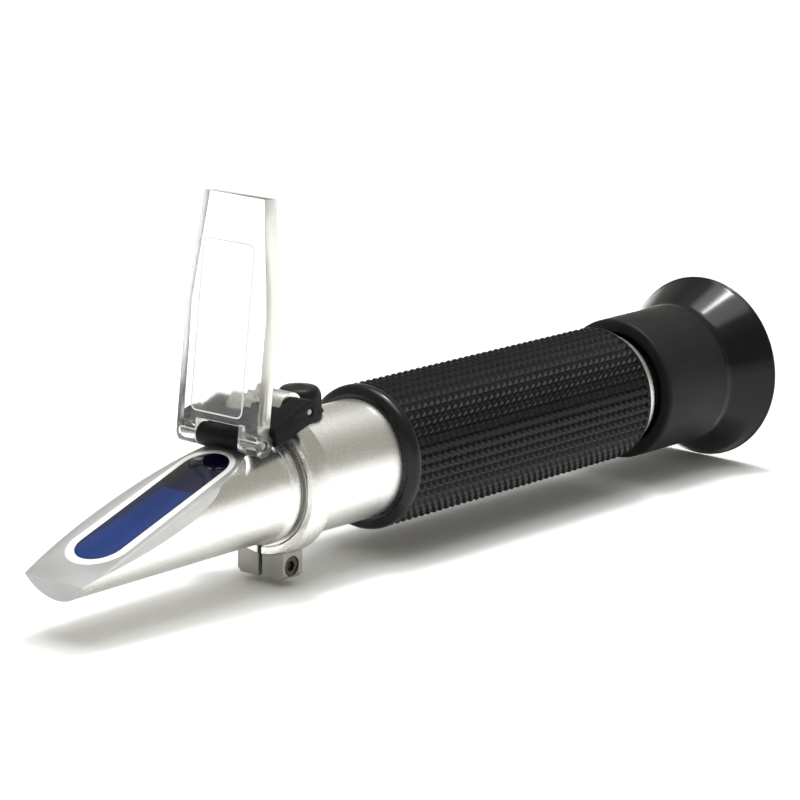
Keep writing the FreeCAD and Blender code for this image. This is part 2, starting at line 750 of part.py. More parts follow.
def make_boss():
    saddle = new_body("boss_saddle", x="cal_x", turn=UPRIGHT)
    revolve(saddle, "saddle_turning", [
        ("boss_bottom - 0.2", "boss_spigot"),
        ("boss_bottom - 0.2", "boss_round"),
        ("boss_top", "boss_round"),
        ("boss_top", "boss_spigot"),
    ])
    tube_room = doc.addObject("Part::Cylinder", "tube_room")
    place(tube_room, x="cal_x - 10", turn=FreeCAD.Rotation(FreeCAD.Vector(0, 1, 0), 90))
    tube_room.Height = 20
    bind(tube_room, Radius="tube_outer")
    seated = doc.addObject("Part::Cut", "seated_saddle")
    seated.Base = saddle
    seated.Tool = tube_room
    collar = new_body("boss_collar_blank", x="cal_x", turn=UPRIGHT)
    revolve(collar, "collar_turning", [
        ("boss_bottom", "cal_shank + cal_shank_play"),
        ("boss_bottom", "boss_spigot"),
        ("boss_top - 0.3", "boss_spigot"),
        ("boss_top - 0.3", "boss_collar"),
        ("boss_collar_top", "boss_collar"),
        ("boss_collar_top", "boss_well"),
        ("boss_top", "boss_well"),
        ("boss_top", "cal_shank + cal_shank_play"),
    ])
    boss = doc.addObject("Part::Fuse", "calibration_boss")
    boss.Label = "calibration_boss"
    boss.Base = seated
    boss.Tool = collar
    nodes.append(boss)


def make_calibration():
    make_boss()
    screw = turned("calibration_screw", [
        ("cal_tip", "0"),
        ("cal_tip", "cal_shank"),
        ("cal_head_low", "cal_shank"),
        ("cal_head_low", "cal_head"),
        ("cal_head_top", "cal_head"),
        ("cal_head_top", "0"),
    ], x="cal_x", turn=UPRIGHT)
    slot = new_sketch(screw, "YZ_Plane", "slot_outline", z="cal_head_top")
    outline(slot, [
        ("-cal_slot_half", "-cal_head - 1"),
        ("cal_slot_half", "-cal_head - 1"),
        ("cal_slot_half", "cal_head + 1"),
        ("-cal_slot_half", "cal_head + 1"),
    ])
    extrude(screw, "slot", slot, "cal_slot_depth", cut=True)
    turned("calibration_cap", [
        ("cap_low", "cap_bore"),
        ("cap_low", "cap_skirt"),
        ("cap_low + 0.6", "cap_skirt"),
        ("cap_low + 0.9", "cap_round"),
        ("cap_shoulder", "cap_round"),
        ("cap_shoulder + 0.8", "cap_round - 0.8"),
        ("cap_top - 0.2", "cap_round - 2.4"),
        ("cap_top", "0"),
        ("cap_ceiling", "0"),
        ("cap_ceiling", "cap_bore"),
    ], x="cal_x", turn=UPRIGHT)


# ---------------------------------------------------------------- grip and inserts

def make_grip():
    turned("grip_sleeve", [
        ("0", "grip_bore"),
        ("0", "grip_nose_round"),
        ("grip_lip - 1.8", "grip_front_round - 0.4"),
        ("grip_lip", "grip_front_round"),
        ("grip_rear - 0.8", "grip_rear_round"),
        ("grip_rear", "grip_rear_round - 0.5"),
        ("grip_rear", "grip_bore"),
    ])


def make_inserts():
    ring("light_baffle", "baffle_front", "baffle_length", "baffle_hole", "insert_outer")
    holder_rear = "holder_front + holder_length"
    turned("reticle_holder", [
        ("holder_front", "holder_lip_bore"),
        ("holder_front", "insert_outer"),
        (holder_rear, "insert_outer"),
        (holder_rear, "holder_bore"),
        ("holder_front + holder_lip", "holder_bore"),
        ("holder_front + holder_lip", "holder_lip_bore"),
    ])
    disc_rear = "holder_front + holder_lip + reticle_thick"
    turned("reticle_disc", [
        ("holder_front + holder_lip", "0"),
        ("holder_front + holder_lip", "reticle_round"),
        (disc_rear, "reticle_round"),
        (disc_rear, "0"),
    ])
    ring("reticle_retaining_ring", disc_rear, "holder_ring_length", "holder_lip_bore", "reticle_round")


# ---------------------------------------------------------------- eyepiece and focusing

def make_focus_sleeve():
    body = ring("focus_sleeve", "sleeve_front", "sleeve_rear - sleeve_front", "sleeve_bore", "insert_outer")
    key_hole(body, "sleeve_key_hole", "key_round + 0.02")
    turned("key_screw", [
        ("-tube_outer + 0.1", "0"),
        ("-tube_outer + 0.1", "key_round"),
        ("-barrel_outer + 0.6", "key_round"),
        ("-barrel_outer + 0.6", "0"),
    ], x="key_x", turn=UPRIGHT)


def make_eyepiece():
    body = turned("eyepiece_barrel", [
        ("barrel_front", "barrel_lip_bore"),
        ("barrel_front", "barrel_outer"),
        ("barrel_flange_front", "barrel_outer"),
        ("barrel_flange_front", "barrel_flange"),
        ("barrel_rear", "barrel_flange"),
        ("barrel_rear", "barrel_bore"),
        ("barrel_front + barrel_lip", "barrel_bore"),
        ("barrel_front + barrel_lip", "barrel_lip_bore"),
    ])
    slot = new_sketch(body, "XY_Plane", "key_slot_outline")
    outline(slot, [
        ("key_x - key_slot_run", "-key_slot_half"),
        ("key_x + key_slot_run", "-key_slot_half"),
        ("key_x + key_slot_run", "key_slot_half"),
        ("key_x - key_slot_run", "key_slot_half"),
    ])
    extrude(body, "key_slot", slot, "barrel_outer + 1", cut=True)
    field_rear = "field_lens_front + field_lens_thick"
    eye_rear = "eye_lens_front + eye_lens_thick"
    ball = sheet.get("eyepiece_ball")
    rear_ball = sheet.get("eye_rear_ball")
    spacing = "eye_lens_front - field_lens_front - field_lens_thick"
    turned_lens("field_lens", "field_lens_front", "field_lens_thick", "lens_round", ball, ball)
    ring("lens_spacer", field_rear, spacing, "cell_lip_bore", "lens_round")
    turned_lens("eye_lens", "eye_lens_front", "eye_lens_thick", "lens_round", ball, rear_ball)
    ring("eyepiece_retaining_ring", eye_rear, "eye_ring_length", "eye_ring_bore", "lens_round")


def make_focus_ring():
    turned("focus_ring", [
        ("focus_front", "focus_bore"),
        ("focus_front", "focus_front_round - focus_lip"),
        ("focus_front + focus_lip", "focus_front_round"),
        ("focus_rear", "focus_rear_round"),
        ("focus_rear", "focus_spigot"),
        ("focus_spigot_rear", "focus_spigot"),
        ("focus_spigot_rear", "focus_back_bore"),
        ("focus_back_wall", "focus_back_bore"),
        ("focus_back_wall", "focus_bore"),
    ])
    ring("barrel_trap_ring", "trap_front", "trap_length", "trap_bore", "focus_bore - 0.02")
    turned("eyecup", [
        ("focus_rear", "focus_spigot + 0.02"),
        ("focus_rear", "focus_rear_round"),
        ("cup_flare", "focus_rear_round + 0.2"),
        ("cup_rear - cup_rim - 0.5", "cup_round - 0.4"),
        ("cup_rear - cup_rim", "cup_round"),
        ("cup_rear - 0.3", "cup_round"),
        ("cup_rear", "cup_round - 0.5"),
        ("cup_rear", "cup_inner + 0.9"),
        ("cup_rear - 0.8", "cup_inner"),
        ("focus_spigot_rear + 0.02", "focus_spigot - 1"),
        ("focus_spigot_rear + 0.02", "focus_spigot + 0.02"),
    ])


make_tube()
make_nose()
make_clamp_ring()
make_clamp_screw()
make_pin("pivot_pin", "pin_half", "pin_round", "pin_x", "pin_z")
make_arm()
make_pin("plate_hinge_pin", "plate_pin_half", "plate_pin", "plate_hinge_x", "plate_hinge_z")
make_plate()
make_objective()
make_calibration()
make_grip()
make_inserts()
make_focus_sleeve()
make_eyepiece()
make_focus_ring()
doc.recompute()

for thing in doc.Objects:
    if "Invalid" in thing.State or "Error" in thing.State:
        raise RuntimeError("%s failed: %s" % (thing.Label, thing.State))
for node in nodes:
    if node.Shape.isNull() or not node.Shape.isValid():
        raise RuntimeError("%s has no valid shape" % node.Label)

os.makedirs("parts", exist_ok=True)
for node in nodes:
    node.Shape.exportStep("parts/%s.step" % node.Label)
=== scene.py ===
import math

import bmesh
import bpy
from mathutils import Matrix, Vector


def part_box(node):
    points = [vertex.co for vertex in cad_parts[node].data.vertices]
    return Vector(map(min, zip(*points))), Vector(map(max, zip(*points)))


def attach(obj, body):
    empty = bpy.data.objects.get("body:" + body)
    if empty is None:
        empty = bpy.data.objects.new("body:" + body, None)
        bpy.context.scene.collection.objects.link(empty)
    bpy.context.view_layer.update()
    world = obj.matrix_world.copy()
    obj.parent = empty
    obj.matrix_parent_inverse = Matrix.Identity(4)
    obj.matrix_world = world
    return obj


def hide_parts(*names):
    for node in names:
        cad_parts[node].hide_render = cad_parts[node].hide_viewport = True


# A hand-held refractometer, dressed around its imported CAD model. Lengths written here are millimetres in
# the tube frame: X starts at the grip's front face, Y and Z start on the tube's axis.

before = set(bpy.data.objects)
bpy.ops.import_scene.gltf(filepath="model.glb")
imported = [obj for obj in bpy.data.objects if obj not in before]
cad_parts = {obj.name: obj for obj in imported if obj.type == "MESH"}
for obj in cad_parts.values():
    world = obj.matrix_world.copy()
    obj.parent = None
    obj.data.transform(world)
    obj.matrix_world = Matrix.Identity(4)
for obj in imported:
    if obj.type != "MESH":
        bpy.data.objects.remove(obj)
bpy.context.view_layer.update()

MM = 0.001
ROUND = 160  # sides of a turned piece
GRIP_LOW, GRIP_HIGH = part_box("grip_sleeve")
CAP_LOW, CAP_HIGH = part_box("calibration_cap")
AXIS_Z = (GRIP_LOW.z + GRIP_HIGH.z) / 2
ORIGIN = Vector((GRIP_LOW.x, 0, AXIS_Z))


def place(x, y, z):
    """A point of the tube frame in metres."""
    return ORIGIN + Vector((x, y, z)) * MM


# ---------------------------------------------------------------- materials
# Grain is in features per metre and depth in metres.

PATCH_SHARE = 0.06  # patches of colour are this much coarser than the grain


def new_material(name):
    material = bpy.data.materials.new(name)
    material.use_nodes = True
    tree = material.node_tree
    return material, tree.nodes, tree.links, tree.nodes["Principled BSDF"]


def object_noise(nodes, links, scale, detail=4.0):
    """Noise fixed to the piece."""
    coordinate = nodes.new("ShaderNodeTexCoord")
    noise = nodes.new("ShaderNodeTexNoise")
    noise.inputs["Scale"].default_value = scale
    noise.inputs["Detail"].default_value = detail
    links.new(coordinate.outputs["Object"], noise.inputs["Vector"])
    return noise.outputs["Fac"]


def spread(nodes, links, socket, low, high, start=0.3, end=0.7):
    """Map a noise value onto a range."""
    mapping = nodes.new("ShaderNodeMapRange")
    mapping.inputs["From Min"].default_value = start
    mapping.inputs["From Max"].default_value = end
    mapping.inputs["To Min"].default_value = low
    mapping.inputs["To Max"].default_value = high
    links.new(socket, mapping.inputs["Value"])
    return mapping.outputs["Result"]


def tint(nodes, links, socket, dark, light, start=0.3, end=0.7):
    """Turn a noise value into a colour between two."""
    ramp = nodes.new("ShaderNodeValToRGB")
    ramp.color_ramp.elements[0].position = start
    ramp.color_ramp.elements[0].color = (*dark, 1)
    ramp.color_ramp.elements[1].position = end
    ramp.color_ramp.elements[1].color = (*light, 1)
    links.new(socket, ramp.inputs["Fac"])
    return ramp.outputs["Color"]


def bump(nodes, links, bsdf, socket, depth, strength):
    node = nodes.new("ShaderNodeBump")
    node.inputs["Distance"].default_value = depth
    node.inputs["Strength"].default_value = strength
    links.new(socket, node.inputs["Height"])
    links.new(node.outputs["Normal"], bsdf.inputs["Normal"])


def surface(name, dark, light, rough, grain, depth, metallic=0.0, specular=0.5, strength=1.0):
    """Opaque finish: two close colours, a range of roughness and a fine grain."""
    material, nodes, links, bsdf = new_material(name)
    patches = object_noise(nodes, links, grain * PATCH_SHARE, 3.0)
    fine = object_noise(nodes, links, grain, 5.0)
    links.new(tint(nodes, links, patches, dark, light), bsdf.inputs["Base Color"])
    links.new(spread(nodes, links, fine, *rough), bsdf.inputs["Roughness"])
    bump(nodes, links, bsdf, fine, depth, strength)
    bsdf.inputs["Metallic"].default_value = metallic
    bsdf.inputs["Specular IOR Level"].default_value = specular
    return material


def clear(name, colour, rough, ior, grain=900.0, depth=0.000002, specular=0.5):
    """See-through finish with a very slight unevenness."""
    material, nodes, links, bsdf = new_material(name)
    noise = object_noise(nodes, links, grain, 2.0)
    light = tuple(min(1.0, channel * 1.02) for channel in colour)
    links.new(tint(nodes, links, noise, colour, light), bsdf.inputs["Base Color"])
    links.new(spread(nodes, links, noise, *rough), bsdf.inputs["Roughness"])
    bump(nodes, links, bsdf, noise, depth, 0.3)
    bsdf.inputs["Transmission Weight"].default_value = 1.0
    bsdf.inputs["IOR"].default_value = ior
    bsdf.inputs["Specular IOR Level"].default_value = specular
    return material


def blasted_aluminium(name, rough, depth, dark=(0.88, 0.875, 0.85), light=(0.92, 0.915, 0.89)):
    """Bead-blasted, clear-anodised aluminium with a fine sparkle."""
    material, nodes, links, bsdf = new_material(name)
    patches = object_noise(nodes, links, 60.0, 3.0)
    fine = object_noise(nodes, links, 4600.0, 4.0)
    links.new(tint(nodes, links, patches, dark, light), bsdf.inputs["Base Color"])
    links.new(spread(nodes, links, fine, *rough), bsdf.inputs["Roughness"])
    bump(nodes, links, bsdf, fine, depth, 0.2)
    bsdf.inputs["Metallic"].default_value = 1.0
    return material


def sawn_acrylic(name):
    """Clear acrylic, polished on its faces and finely sawn on its near side edge."""
    polished, sawn = (0.97, 0.975, 0.965), (0.86, 0.86, 0.80)
    material, nodes, links, bsdf = new_material(name)
    coordinate = nodes.new("ShaderNodeTexCoord")
    split = nodes.new("ShaderNodeSeparateXYZ")
    links.new(coordinate.outputs["Normal"], split.inputs["Vector"])
    edge = spread(nodes, links, split.outputs["Y"], 1.0, 0.0, -0.95, -0.8)
    rough = nodes.new("ShaderNodeMath")
    rough.operation = "MULTIPLY_ADD"
    links.new(edge, rough.inputs[0])
    links.new(spread(nodes, links, object_noise(nodes, links, 1800.0, 3.0), 0.28, 0.4), rough.inputs[1])
    rough.inputs[2].default_value = 0.015
    links.new(rough.outputs["Value"], bsdf.inputs["Roughness"])
    links.new(tint(nodes, links, edge, polished, sawn, 0.0, 1.0), bsdf.inputs["Base Color"])
    bsdf.inputs["Transmission Weight"].default_value = 1.0
    bsdf.inputs["IOR"].default_value = 1.49
    return material


ALUMINIUM = blasted_aluminium("blasted_aluminium", (0.24, 0.36), 0.00006)
CASTING = blasted_aluminium("fine_aluminium", (0.26, 0.32), 0.00001)
RING_METAL = blasted_aluminium("ring_aluminium", (0.24, 0.32), 0.00001,
                               (0.80, 0.795, 0.77), (0.84, 0.835, 0.81))
EDGE_METAL = surface("cut_edge", (0.60, 0.605, 0.60), (0.68, 0.685, 0.68), (0.36, 0.44), 2600.0, 0.00001,
                     metallic=0.6, strength=0.3)
LUG_METAL = surface("lug_aluminium", (0.30, 0.295, 0.275), (0.36, 0.355, 0.33), (0.4, 0.5), 3500.0, 0.00001,
                    metallic=0.7, strength=0.3)
FACE = surface("milled_face", (0.42, 0.425, 0.425), (0.45, 0.455, 0.455), (0.45, 0.55), 3500.0, 0.00001,
               metallic=0.6)
DARK_STEEL = surface("oxide_steel", (0.055, 0.05, 0.042), (0.09, 0.082, 0.07), (0.3, 0.45), 2600.0, 0.00001,
                     metallic=0.9)
PIN_STEEL = surface("pin_steel", (0.30, 0.29, 0.26), (0.36, 0.35, 0.32), (0.35, 0.5), 2600.0, 0.000006,
                    metallic=1.0)
STEEL = surface("turned_steel", (0.62, 0.61, 0.58), (0.72, 0.71, 0.68), (0.16, 0.3), 2600.0, 0.000006,
                metallic=1.0)
BRASS = surface("turned_brass", (0.62, 0.46, 0.2), (0.74, 0.58, 0.3), (0.2, 0.34), 2600.0, 0.000006,
                metallic=1.0)
ANODISED = surface("black_anodised", (0.018, 0.018, 0.02), (0.028, 0.028, 0.03), (0.45, 0.6),
                   3000.0, 0.00001, metallic=0.4)
GRIP_RUBBER = surface("grip_rubber", (0.005, 0.005, 0.006), (0.008, 0.008, 0.010), (0.16, 0.24),
                      2200.0, 0.000004, specular=0.32)
CUP_RUBBER = surface("cup_rubber", (0.003, 0.003, 0.004), (0.005, 0.005, 0.007), (0.11, 0.16),
                     1500.0, 0.000001, specular=0.24)
CAP_RUBBER = surface("cap_rubber", (0.006, 0.006, 0.007), (0.010, 0.010, 0.012), (0.34, 0.45),
                     2600.0, 0.000004, specular=0.2)
RING_PLASTIC = surface("ring_plastic", (0.010, 0.010, 0.011), (0.014, 0.014, 0.015), (0.45, 0.55),
                       2400.0, 0.000005, specular=0.14)
ARM_PLASTIC = surface("arm_plastic", (0.004, 0.004, 0.006), (0.008, 0.008, 0.011), (0.34, 0.46),
                      2600.0, 0.000006, specular=0.09)
# painted shade: a mid grey for the ring in the groove, standing in for the shadowed aluminium at the groove's
# bottom
GROOVE_SHADE = surface("painted_groove_shade", (0.13, 0.128, 0.12), (0.17, 0.168, 0.16), (0.4, 0.5), 2400.0, 0.000004)
SEALANT = surface("white_sealant", (0.86, 0.85, 0.80), (0.93, 0.92, 0.88), (0.3, 0.42), 900.0, 0.00001)
PAD_RIM = surface("pad_rim", (0.80, 0.81, 0.78), (0.88, 0.89, 0.86), (0.3, 0.4), 1500.0, 0.000002)
WEDGE_FLOOR = surface("prism_floor", (0.002, 0.046, 0.27), (0.004, 0.060, 0.34), (0.5, 0.6),
                      1500.0, 0.000002, specular=0.05)
WEDGE_WALL = surface("prism_wall", (0.003, 0.032, 0.25), (0.005, 0.040, 0.30), (0.5, 0.6),
                     1500.0, 0.000002, specular=0.05)
WEDGE_HEEL = surface("prism_heel", (0.010, 0.015, 0.085), (0.014, 0.020, 0.100), (0.5, 0.6),
                     1500.0, 0.000002, specular=0.05)
ACRYLIC = sawn_acrylic("clear_acrylic")
FROSTED = clear("frosted_acrylic", (0.96, 0.965, 0.955), (0.16, 0.2), ior=1.3,
                grain=6000.0, depth=0.000004)
LENS = clear("coated_lens", (0.86, 0.93, 0.96), (0.0, 0.02), ior=1.55)
PRISM = clear("prism_glass", (0.90, 0.94, 1.0), (0.0, 0.01), ior=1.5, specular=0.15)


# ---------------------------------------------------------------- mesh helpers

def new_piece(name, mesh, material, body, replaces=()):
    """A piece that rides on a body; its material may be a tuple of materials."""
    piece = bpy.data.objects.new(name, mesh)
    bpy.context.scene.collection.objects.link(piece)
    for part in material if isinstance(material, tuple) else (material,):
        piece.data.materials.append(part)
    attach(piece, body)
    if replaces:
        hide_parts(*replaces)
    return piece


def finish_shading(piece, angle=32.0):
    """Smooth shading that keeps edges sharper than the angle."""
    mesh = piece.data
    for polygon in mesh.polygons:
        polygon.use_smooth = True
    mesh.set_sharp_from_angle(angle=math.radians(angle))


def bake_modifiers(piece):
    depsgraph = bpy.context.evaluated_depsgraph_get()
    mesh = bpy.data.meshes.new_from_object(piece.evaluated_get(depsgraph))
    piece.modifiers.clear()
    piece.data = mesh


def bevel(piece, width, segments=3, angle=28.0, material=-1):
    modifier = piece.modifiers.new("bevel", "BEVEL")
    modifier.width = width * MM
    modifier.segments = segments
    modifier.limit_method = "ANGLE"
    modifier.angle_limit = math.radians(angle)
    modifier.use_clamp_overlap = True
    modifier.miter_outer = "MITER_ARC"
    modifier.material = material
    bake_modifiers(piece)


def bridge(work, first, second):
    """Quads between two closed rings of vertices."""
    count = len(first)
    return [work.faces.new((first[k], first[(k + 1) % count], second[(k + 1) % count], second[k]))
            for k in range(count)]


def finished_mesh(name, work, merge=None):
    """Mesh with its faces turned outward, from a bmesh that is used up."""
    if merge:
        bmesh.ops.remove_doubles(work, verts=work.verts, dist=merge)
    bmesh.ops.recalc_face_normals(work, faces=work.faces)
    mesh = bpy.data.meshes.new(name)
    work.to_mesh(mesh)
    work.free()
    return mesh


def rounded(points, radius, steps=5):
    """Closed outline with each corner turned into a small curve; a point may bring its own radius."""
    result = []
    for number, point in enumerate(points):
        before = Vector(points[number - 1][:2])
        corner = Vector(point[:2])
        after = Vector(points[(number + 1) % len(points)][:2])
        size = point[2] if len(point) > 2 else radius
        to_before, to_after = before - corner, after - corner
        reach = min(size, 0.45 * to_before.length, 0.45 * to_after.length)
        if reach < 0.01:
            result.append(tuple(corner))
            continue
        start = corner + to_before.normalized() * reach
        end = corner + to_after.normalized() * reach
        for step in range(steps + 1):
            t = step / steps
            spot = start * (1 - t) ** 2 + corner * 2 * t * (1 - t) + end * t ** 2
            result.append(tuple(spot))
    return result


def lathe(name, outline, material, body, replaces=(), radius=0.3,
          centre=ORIGIN, along=Vector((1, 0, 0)), out=Vector((0, 1, 0))):
    """Ring-shaped solid: a closed outline of (along, radius) turned about an axis."""
    third = along.cross(out)
    outline = rounded(outline, radius)
    work = bmesh.new()
    rings = []
    for step in range(ROUND):
        angle = 2 * math.pi * step / ROUND
        side = out * math.cos(angle) + third * math.sin(angle)
        rings.append([work.verts.new(centre + (along * s + side * r) * MM) for s, r in outline])
    for here, there in zip(rings, rings[1:] + rings[:1]):
        bridge(work, here, there)
    mesh = finished_mesh(name, work, merge=1e-7)
    finish_shading(new_piece(name, mesh, material, body, replaces))


def refined(node, name, material, body, width, segments=3):
    """The CAD solid with clean flat faces and small rounded edges."""
    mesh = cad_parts[node].data.copy()
    mesh.materials.clear()
    work = bmesh.new()
    work.from_mesh(mesh)
    bmesh.ops.remove_doubles(work, verts=work.verts, dist=2e-6)
    bmesh.ops.dissolve_limit(work, angle_limit=math.radians(0.6), verts=work.verts, edges=work.edges)
    work.to_mesh(mesh)
    work.free()
    piece = new_piece(name, mesh, material, body, (node,))
    bevel(piece, width, segments)
    finish_shading(piece)
    return piece


# ---------------------------------------------------------------- nose

NOSE_TIP, NOSE_ROOT, FLARE_START = -85.25, -31.4, -33.4
TIP_RADIUS, ROOT_RADIUS, FLARE_RADIUS = 9.13, 10.9, 11.2
TIP_DROP, ROOT_DROP = -2.8, -0.2
TOE_RUN = 4.2  # the blunt toe leans back 1 in this
CHAMFER_ACROSS = 8.35  # where the near-side chamfer meets the window face

WINDOW_SLOPE = math.radians(19.45)
WINDOW_START = place(NOSE_TIP, 0, -7.8)
WINDOW_ALONG = Vector((math.cos(WINDOW_SLOPE), 0, math.sin(WINDOW_SLOPE)))
WINDOW_UP = Vector((-math.sin(WINDOW_SLOPE), 0, math.cos(WINDOW_SLOPE)))
TOE_CENTRE, HEEL_CENTRE = 13.3, 42.8  # of the slot's round ends, along the window face
SLOT_TOE, SLOT_HEEL = 7.0, 6.4  # radii of the slot's round ends
PRISM_RADIUS = 5.22


def on_window(along, across, height):
    return WINDOW_START + (WINDOW_ALONG * along + WINDOW_UP * height + Vector((0, across, 0))) * MM


def nose_ring(x):
    """Radius and drop of the nose's round section at x."""
    share = (x - NOSE_TIP) / (NOSE_ROOT - NOSE_TIP)
    return TIP_RADIUS + (ROOT_RADIUS - TIP_RADIUS) * share, TIP_DROP + (ROOT_DROP - TIP_DROP) * share


def nose_sections():
    """(x, radius, drop) of the taper, the flare at its root and the flange."""
    sections = [(x, *nose_ring(x)) for x in range(-87, -33)]
    radius, drop = nose_ring(FLARE_START)
    blend = 8
    for step in range(1, blend + 1):
        turn = step / blend * math.pi / 2
        ease = 1 - math.cos(turn)
        sections.append((FLARE_START + 2.0 * math.sin(turn), radius + (FLARE_RADIUS - radius) * ease,
                         drop * (1 - ease)))
    flange = [(-31.0, 11.55), (-30.7, 11.72), (-30.4, 11.75), (-29.8, 11.75), (-29.8, 11.0)]
    return sections + [(x, radius, 0) for x, radius in flange]


def nose():
    work = bmesh.new()
    turns = [2 * math.pi * k / ROUND for k in range(ROUND)]
    rings = [[work.verts.new(place(x, radius * math.cos(turn), drop + radius * math.sin(turn)))
              for turn in turns] for x, radius, drop in nose_sections()]
    for first, second in zip(rings, rings[1:]):
        bridge(work, first, second)
    work.faces.new(rings[0])
    work.faces.new(rings[-1])
    bmesh.ops.recalc_face_normals(work, faces=work.faces)
    toe_normal = Vector((-TOE_RUN, 0, -1)).normalized()
    chamfer_normal = (WINDOW_UP - Vector((0, 1, 0))).normalized()
    cuts = ((WINDOW_START, WINDOW_UP), (WINDOW_START, toe_normal),
            (on_window(0, -CHAMFER_ACROSS, 0), chamfer_normal))
    for point, normal in cuts:
        geometry = work.verts[:] + work.edges[:] + work.faces[:]
        made = bmesh.ops.bisect_plane(work, geom=geometry, plane_co=point, plane_no=normal, clear_outer=True)
        loop = [item for item in made["geom_cut"] if isinstance(item, bmesh.types.BMEdge)]
        bmesh.ops.holes_fill(work, edges=loop, sides=0)
    mesh = finished_mesh("nose_casting", work, merge=5e-6)
    casting, milled, cut_edge = range(3)
    piece = new_piece("nose_casting", mesh, (CASTING, FACE, EDGE_METAL), "body",
                      ("prism_housing",))
    sink_pocket(piece)
    for polygon in piece.data.polygons:
        flat = polygon.normal.dot(WINDOW_UP) > 0.999 or polygon.normal.dot(toe_normal) > 0.999
        chamfer = polygon.normal.dot(chamfer_normal) > 0.9995
        polygon.material_index = cut_edge if chamfer else milled if flat else casting
    bevel(piece, 0.55, 4, angle=14.0, material=cut_edge)
    finish_shading(piece, 22.0)


def stadium(toe_radius, heel_radius=None, steps=40):
    """Slot outline on the window face, as (along, across) points."""
    heel_radius = toe_radius if heel_radius is None else heel_radius
    ends = ((TOE_CENTRE, toe_radius, math.pi / 2), (HEEL_CENTRE, heel_radius, -math.pi / 2))
    points = []
    for centre, radius, start in ends:
        for step in range(steps + 1):
            angle = start + math.pi * step / steps
            points.append((centre + radius * math.cos(angle), radius * math.sin(angle)))
    return points


def falling(along, toe_height, heel_height):
    """Height of a line that falls evenly from the toe end of the slot to its heel end."""
    share = (along - TOE_CENTRE + SLOT_TOE) / (HEEL_CENTRE - TOE_CENTRE + 2 * SLOT_TOE)
    return toe_height + (heel_height - toe_height) * share


def stadium_ring(work, outline, toe_height, heel_height=None):
    """Vertices along a slot outline, level or falling towards the heel."""
    heel_height = toe_height if heel_height is None else heel_height
    return [work.verts.new(on_window(a, c, falling(a, toe_height, heel_height))) for a, c in outline]


def sink_pocket(piece):
    """Sink the slot that holds the bead and the prism into the window face."""
    work = bmesh.new()
    outline = stadium(SLOT_TOE, SLOT_HEEL)
    low = stadium_ring(work, outline, -2.8, -8.4)
    high = stadium_ring(work, outline, 3.0)
    bridge(work, low, high)
    work.faces.new(low)
    work.faces.new(high)
    cutter = bpy.data.objects.new("pocket", finished_mesh("pocket", work))
    bpy.context.scene.collection.objects.link(cutter)
    cut = piece.modifiers.new("pocket", "BOOLEAN")
    cut.operation = "DIFFERENCE"
    cut.object = cutter
    bake_modifiers(piece)
    bpy.data.objects.remove(cutter)


def stadium_stack(work, levels):
    """Rings for levels of (toe radius, heel radius, toe height[, heel height])."""
    return [stadium_ring(work, stadium(toe, heel), *heights) for toe, heel, *heights in levels]


def sealing_bead():
    """Low rounded band of sealant that fills the gap between the prism and the nose."""
    inner, skirt, rise, steps = 5.2, 0.6, 0.03, 10
    levels = [(inner, inner, -skirt), (inner, inner, rise)]
    for k in range(1, steps):
        turn = math.pi * k / steps
        share = (1 - math.cos(turn)) / 2
        levels.append((5.25 + 1.7 * share, 5.25 + 1.1 * share, rise + 0.15 * math.sin(turn)))
    levels += [(7.02, 6.42, 0.0), (7.02, 6.42, -skirt)]
    work = bmesh.new()
    rings = stadium_stack(work, levels)
    for lower, upper in zip(rings, rings[1:] + rings[:1]):
        bridge(work, lower, upper)
    mesh = finished_mesh("sealing_bead", work, merge=1e-7)
    finish_shading(new_piece("sealing_bead", mesh, SEALANT, "body", ("prism_seal",)))


def prism_block():
    """Clear block with a hair of rounding along its top edge."""
    levels = [(PRISM_RADIUS, PRISM_RADIUS, -2.6, -8.2), (PRISM_RADIUS, PRISM_RADIUS, 0.0), (5.1, 5.1, 0.05),
              (0.8, 0.8, 0.06)]
    work = bmesh.new()
    rings = stadium_stack(work, levels)
    for lower, upper in zip(rings, rings[1:]):
        bridge(work, lower, upper)
    work.faces.new(rings[0])
    work.faces.new(rings[-1])
    mesh = finished_mesh("prism_block", work, merge=1e-7)
    finish_shading(new_piece("prism_block", mesh, PRISM, "body", ("prism",)))


def prism_wedge():
    """Ground faces inside the glass: a blue floor that falls from the toe, its walls and a dark heel."""
    floor, walls, heel = range(3)
    rim, radius, wall, heel_start = -0.12, 5.12, 0.06, 36.5
    outline, inner = stadium(radius), stadium(radius - wall)
    work = bmesh.new()
    outer_top = stadium_ring(work, outline, rim)
    outer_low = stadium_ring(work, outline, -2.5, -8.1)
    inner_top = stadium_ring(work, inner, rim)
    inner_low = stadium_ring(work, inner, -0.5, -6.6)
    for lower, upper in ((outer_low, outer_top), (outer_top, inner_top), (inner_top, inner_low)):
        for face in bridge(work, lower, upper):
            face.material_index = walls
    work.faces.new(inner_low).material_index = floor
    work.faces.new(outer_low).material_index = walls
    heel_plane = on_window(heel_start, 0, 0)
    geometry = work.verts[:] + work.edges[:] + work.faces[:]
    bmesh.ops.bisect_plane(work, geom=geometry, plane_co=heel_plane, plane_no=WINDOW_ALONG)
    for face in work.faces:
        if (face.calc_center_median() - heel_plane).dot(WINDOW_ALONG) > 0:
            face.material_index = heel
    mesh = finished_mesh("prism_wedge", work)
    finishes = (WEDGE_FLOOR, WEDGE_WALL, WEDGE_HEEL)
    finish_shading(new_piece("prism_wedge", mesh, finishes, "body"))


nose()
sealing_bead()
prism_block()
prism_wedge()


# ---------------------------------------------------------------- tube, ring and grip

TUBE_BORE, TUBE_ROUND = 10.7, 12.19
GRIP_BORE, GRIP_END = 12.25, 79.1
KNURL_FRONT, KNURL_REAR = 14.85, 14.45  # radius over the pyramids at the grip's two ends
LUG_TOP = place(0, 0, -12.8).z


